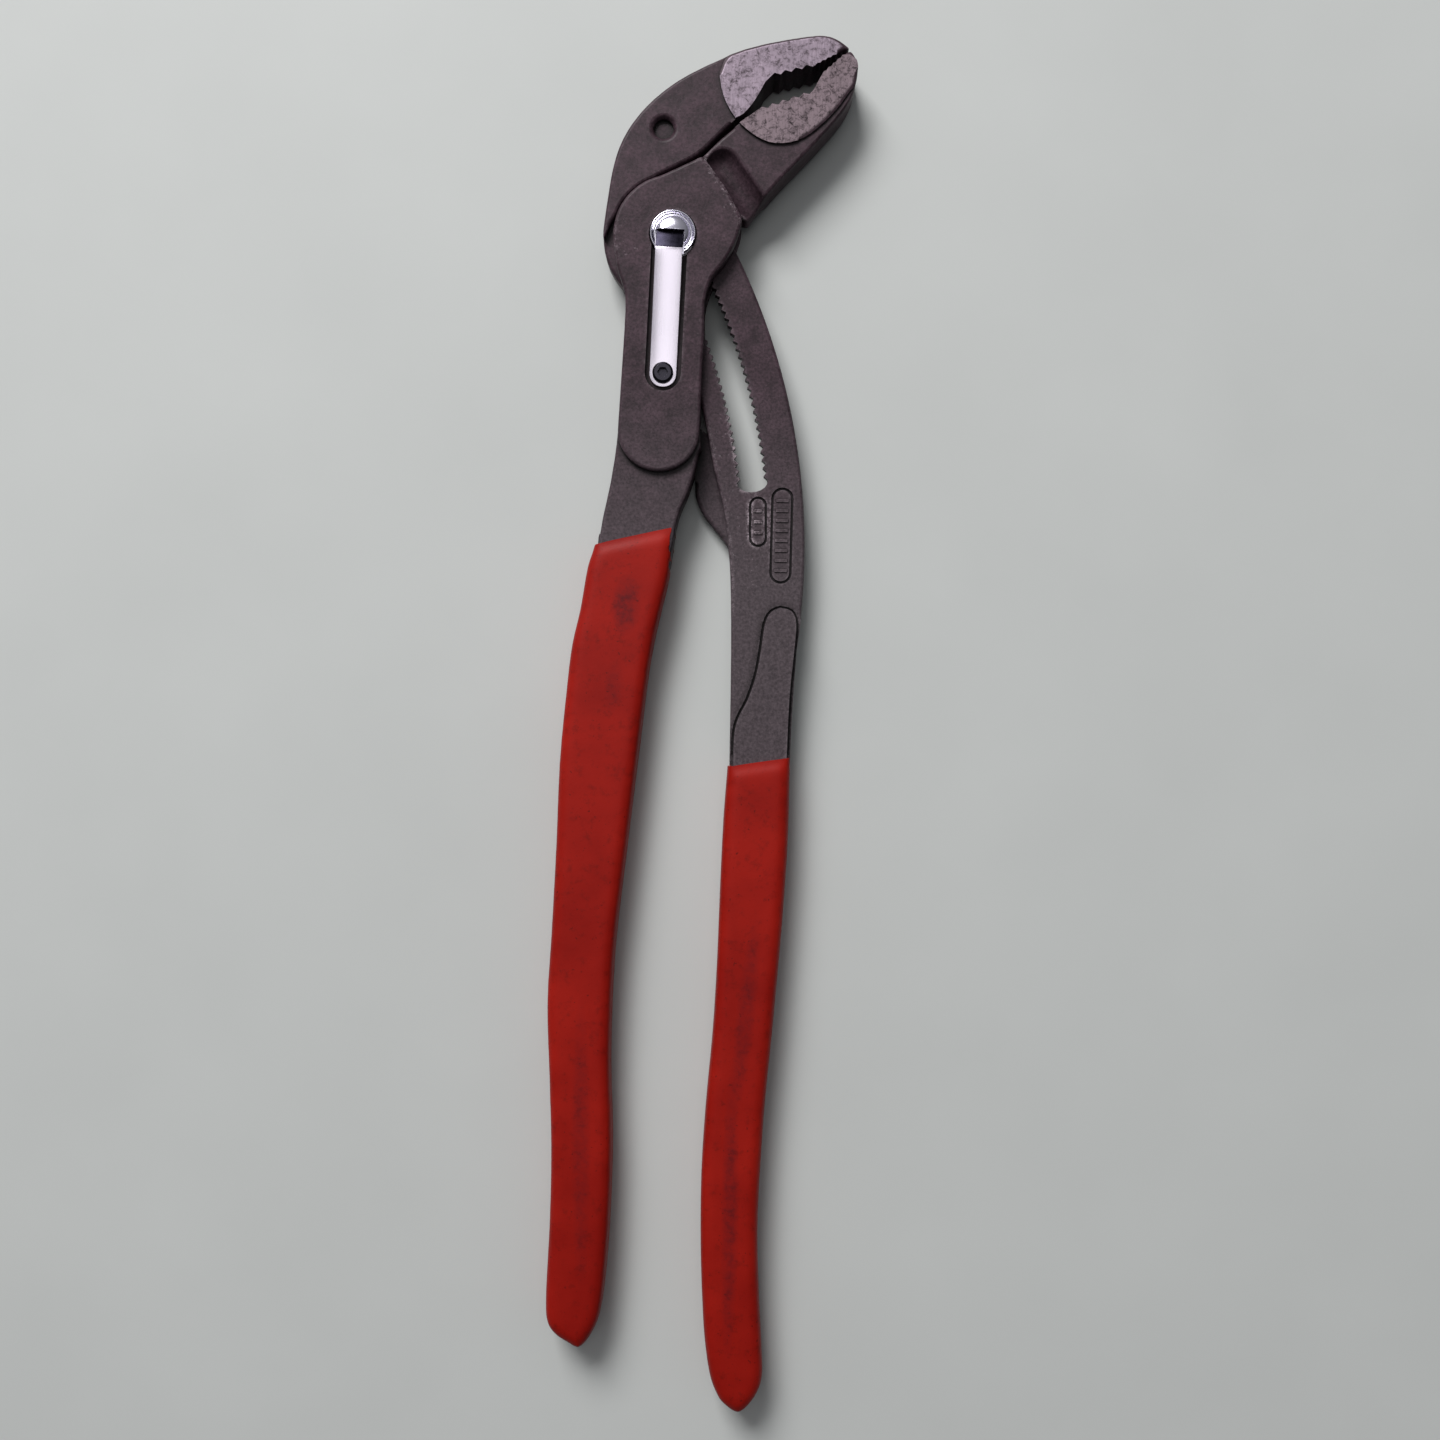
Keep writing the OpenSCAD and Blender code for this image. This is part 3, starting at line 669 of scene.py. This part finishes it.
def strip_of(name, line, width):
    """A flat band that follows a bent line, its front edge extruded point by point"""
    bpy.ops.object.select_all(action="DESELECT")
    middle = (0, (line[0][0] - width / 2) * MM, line[0][1] * MM)
    bpy.ops.mesh.primitive_plane_add(size=width * MM, location=middle)
    bpy.ops.object.transform_apply(location=True, rotation=False, scale=False)
    piece = bpy.context.active_object
    piece.name = name
    bpy.ops.object.mode_set(mode="EDIT")
    bpy.ops.mesh.select_mode(type="EDGE")
    bpy.ops.mesh.select_all(action="DESELECT")
    bpy.ops.object.mode_set(mode="OBJECT")
    for edge in piece.data.edges:
        ends = [piece.data.vertices[i].co.y for i in edge.vertices]
        edge.select = min(ends) > (line[0][0] - 0.01) * MM
    bpy.ops.object.mode_set(mode="EDIT")
    for (y0, z0), (y1, z1) in zip(line, line[1:]):
        step = (0, (y1 - y0) * MM, (z1 - z0) * MM)
        bpy.ops.mesh.extrude_edges_move(TRANSFORM_OT_translate={"value": step})
    bpy.ops.object.mode_set(mode="OBJECT")
    cut_away(piece, (0, line[0][0] * MM, 0), (0, 1, 0))
    return piece


def lay_on_strip_line(piece, height):
    """Turn and move a piece that was made along Y onto the strip's own line"""
    only(piece)
    piece.rotation_euler.z = STRIP_TURN
    piece.location = (SCREW.x * MM, SCREW.y * MM, height * MM)
    bpy.ops.object.transform_apply(location=True, rotation=True, scale=True)


strip = strip_of("spring_strip", BENDS, STRIP_W)
only(strip)
bpy.ops.object.mode_set(mode="EDIT")
bpy.ops.mesh.select_mode(type="VERT")
bpy.ops.mesh.select_all(action="DESELECT")
bpy.ops.object.mode_set(mode="OBJECT")
for vertex in strip.data.vertices:
    vertex.select = vertex.co.y < (BENDS[0][0] + 0.01) * MM
bpy.ops.object.mode_set(mode="EDIT")
bpy.ops.mesh.bevel(offset=STRIP_W / 2 * 0.96 * MM, segments=12, affect="VERTICES", profile=0.5)
bpy.ops.mesh.select_all(action="SELECT")
bpy.ops.mesh.normals_make_consistent(inside=False)
bpy.ops.object.mode_set(mode="OBJECT")
if sum(face.normal.z for face in strip.data.polygons) < 0:
    strip.data.flip_normals()
modify(strip, "SOLIDIFY", thickness=STRIP_T * MM, offset=1.0)
modify(strip, "BEVEL", width=0.12 * MM, segments=3, limit_method="ANGLE", angle_limit=math.radians(50))
lay_on_strip_line(strip, STRIP_Z)
bpy.ops.object.shade_smooth_by_angle(angle=math.radians(30))
print("strip in mm:", [round(size / MM, 2) for size in strip.dimensions])

# %% Mill the notch and dress the button and the strip
NOTCH_START = 30
NOTCH_END = 40.8
NOTCH_W = STRIP_W + 0.7
NOTCH_H = 5
NOTCH_Z = CAP_Z + 1.0
bpy.ops.object.select_all(action="DESELECT")
bpy.ops.mesh.primitive_cube_add(
    size=MM, location=(0, (NOTCH_START + NOTCH_END) / 2 * MM, (NOTCH_Z + NOTCH_H / 2) * MM),
    scale=(NOTCH_W, NOTCH_END - NOTCH_START, NOTCH_H))
cutter = bpy.context.active_object
bpy.ops.object.transform_apply(location=True, rotation=True, scale=True)
lay_on_strip_line(cutter, 0)
modify(button, "BOOLEAN", operation="DIFFERENCE", solver="MANIFOLD", object=cutter)
bpy.data.objects.remove(cutter)
modify(button, "BEVEL", width=0.06 * MM, segments=2, limit_method="ANGLE", angle_limit=math.radians(60))
only(button)
bpy.ops.object.shade_smooth_by_angle(angle=math.radians(40))
dress(button, chrome, "button", "button_cap")

TIP_BEND = 35.6
strip.data.materials.append(spring_steel)
strip.data.materials.append(tip_painted_dark)
# Faces past the bend take the tip's painted dark reflection
for face in strip.data.polygons:
    if face.center.y > (SCREW.y + TIP_BEND) * MM:
        face.material_index = 1
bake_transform(strip)
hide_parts("leaf_spring")
print("button:", len(button.data.polygons), "faces; strip:", len(strip.data.polygons), "faces")

# %% [markdown]
# ## Small metal pieces
# The bolt, key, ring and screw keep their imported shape. A weld closes their loose
# triangles and a fine bevel gives their edges the light that real edges catch.

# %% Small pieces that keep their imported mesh
def finish_node(node, material, bevel):
    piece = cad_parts[node]
    piece.data.materials.clear()
    piece.data.materials.append(material)
    weld = piece.modifiers.new("weld", "WELD")
    weld.merge_threshold = 0.001 * MM
    edge = piece.modifiers.new("edge", "BEVEL")
    edge.width = bevel * MM
    edge.segments = 2
    edge.limit_method = "ANGLE"
    edge.angle_limit = math.radians(35)


finish_node("pivot_bolt", turned_steel, 0.1)
finish_node("locking_key", turned_steel, 0.06)
finish_node("retaining_ring", turned_steel, 0.06)
finish_node("spring_screw", oxide_black, 0.12)

# %% [markdown]
# ## Floor and light
# The tool lies on a pale painted bench. A broad panel hangs overhead and gives the
# white streak on the spring, and a second lamp at the upper left gives soft
# shadows towards the lower right. The room is brighter towards a window and
# dimmer away from it, which gives the bright metal something to mirror.

# %% Floor and studio light
bpy.ops.object.select_all(action="DESELECT")
bpy.ops.mesh.primitive_plane_add(size=3.0, location=(centre.x, centre.y, low.z - 0.05 * MM))
floor = bpy.context.active_object
floor.name = "floor"
paint, paint_where = blank("pale_bench_paint")
paint_cloud = add(paint, NOISE, {"Vector": paint_where, "Scale": per_mm(60), "Detail": 4.0})
paint_tone = add(paint, MIX, {"Factor": paint_cloud, "A": linear("#bcbebc"), "B": linear("#c5c7c5")}, 2,
                 data_type="RGBA")
paint_shader = add(paint, "ShaderNodeBsdfPrincipled", {"Base Color": paint_tone, "Roughness": 0.7})
add(paint, "ShaderNodeOutputMaterial", {"Surface": paint_shader})
floor.data.materials.append(paint)


def softbox(name, offset, size, power):
    light = bpy.data.lights.new(name, "AREA")
    light.shape = "SQUARE"
    light.size = size
    light.energy = power
    lamp = bpy.data.objects.new(name, light)
    lamp.location = Vector((centre.x, centre.y, 0)) + Vector(offset)
    lamp.rotation_euler = (-Vector(offset)).to_track_quat("-Z", "Y").to_euler()
    bpy.context.scene.collection.objects.link(lamp)


softbox("overhead_panel", (0.0, 0.25, 1.3), 0.6, 1.3)
softbox("key_lamp", (-0.72, 1.75, 1.55), 1.1, 68.0)
room = bpy.data.worlds.new("studio")
room.use_nodes = True
room.node_tree.nodes.clear()
direction = add(room, "ShaderNodeTexCoord", output="Generated")
WINDOW = (-0.25, 0.75, 0.6)
facing = add(room, "ShaderNodeVectorMath", {0: direction, 1: WINDOW}, "Value", operation="DOT_PRODUCT")
towards_window = add(room, RANGE, {"Value": facing, "From Min": 0.1, "From Max": 0.95})
sky = add(room, MIX, {"Factor": towards_window, "A": linear("#77797d"), "B": linear("#eef0f4")}, 2,
          data_type="RGBA")
room_light = add(room, "ShaderNodeBackground", {"Color": sky, "Strength": 0.35})
add(room, "ShaderNodeOutputWorld", {"Surface": room_light})
bpy.context.scene.world = room
